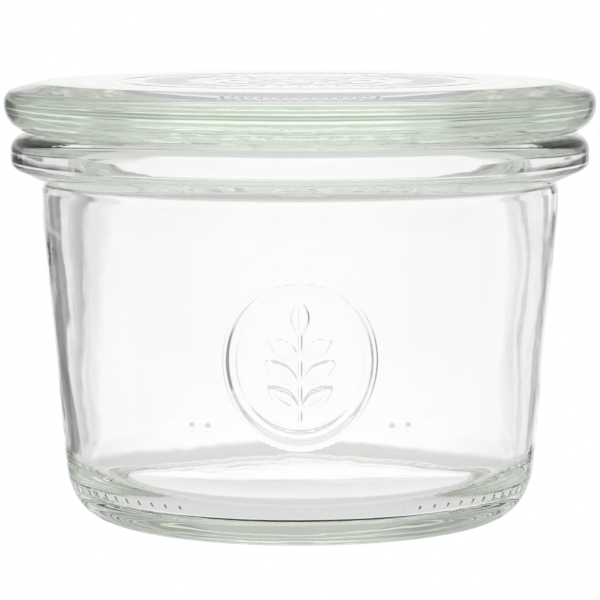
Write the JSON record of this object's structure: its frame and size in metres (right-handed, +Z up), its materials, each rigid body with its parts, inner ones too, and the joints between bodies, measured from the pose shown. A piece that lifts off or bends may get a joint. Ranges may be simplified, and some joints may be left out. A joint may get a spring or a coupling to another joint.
{
  "type": "canning jar",
  "caption": "Small squat canning jar of clear glass with a flanged wide mouth and a loose glass lid resting on it.",
  "frame": {"origin": "middle of the flat ring that the jar stands on, at the bottom of the part", "axes": "+Z up along the turning axis of both pieces; -Y towards the viewer of the picture; +X to the viewer's right"},
  "size_m": [0.07, 0.07, 0.051],
  "materials": {
    "jar_glass": "clear pressed glass with a faint green cast",
    "lid_glass": "clear pressed glass with a faint green cast"
  },
  "bodies": {
    "root": {"jar": "jar_glass", "lid": "lid_glass"}
  },
  "joints": []
}
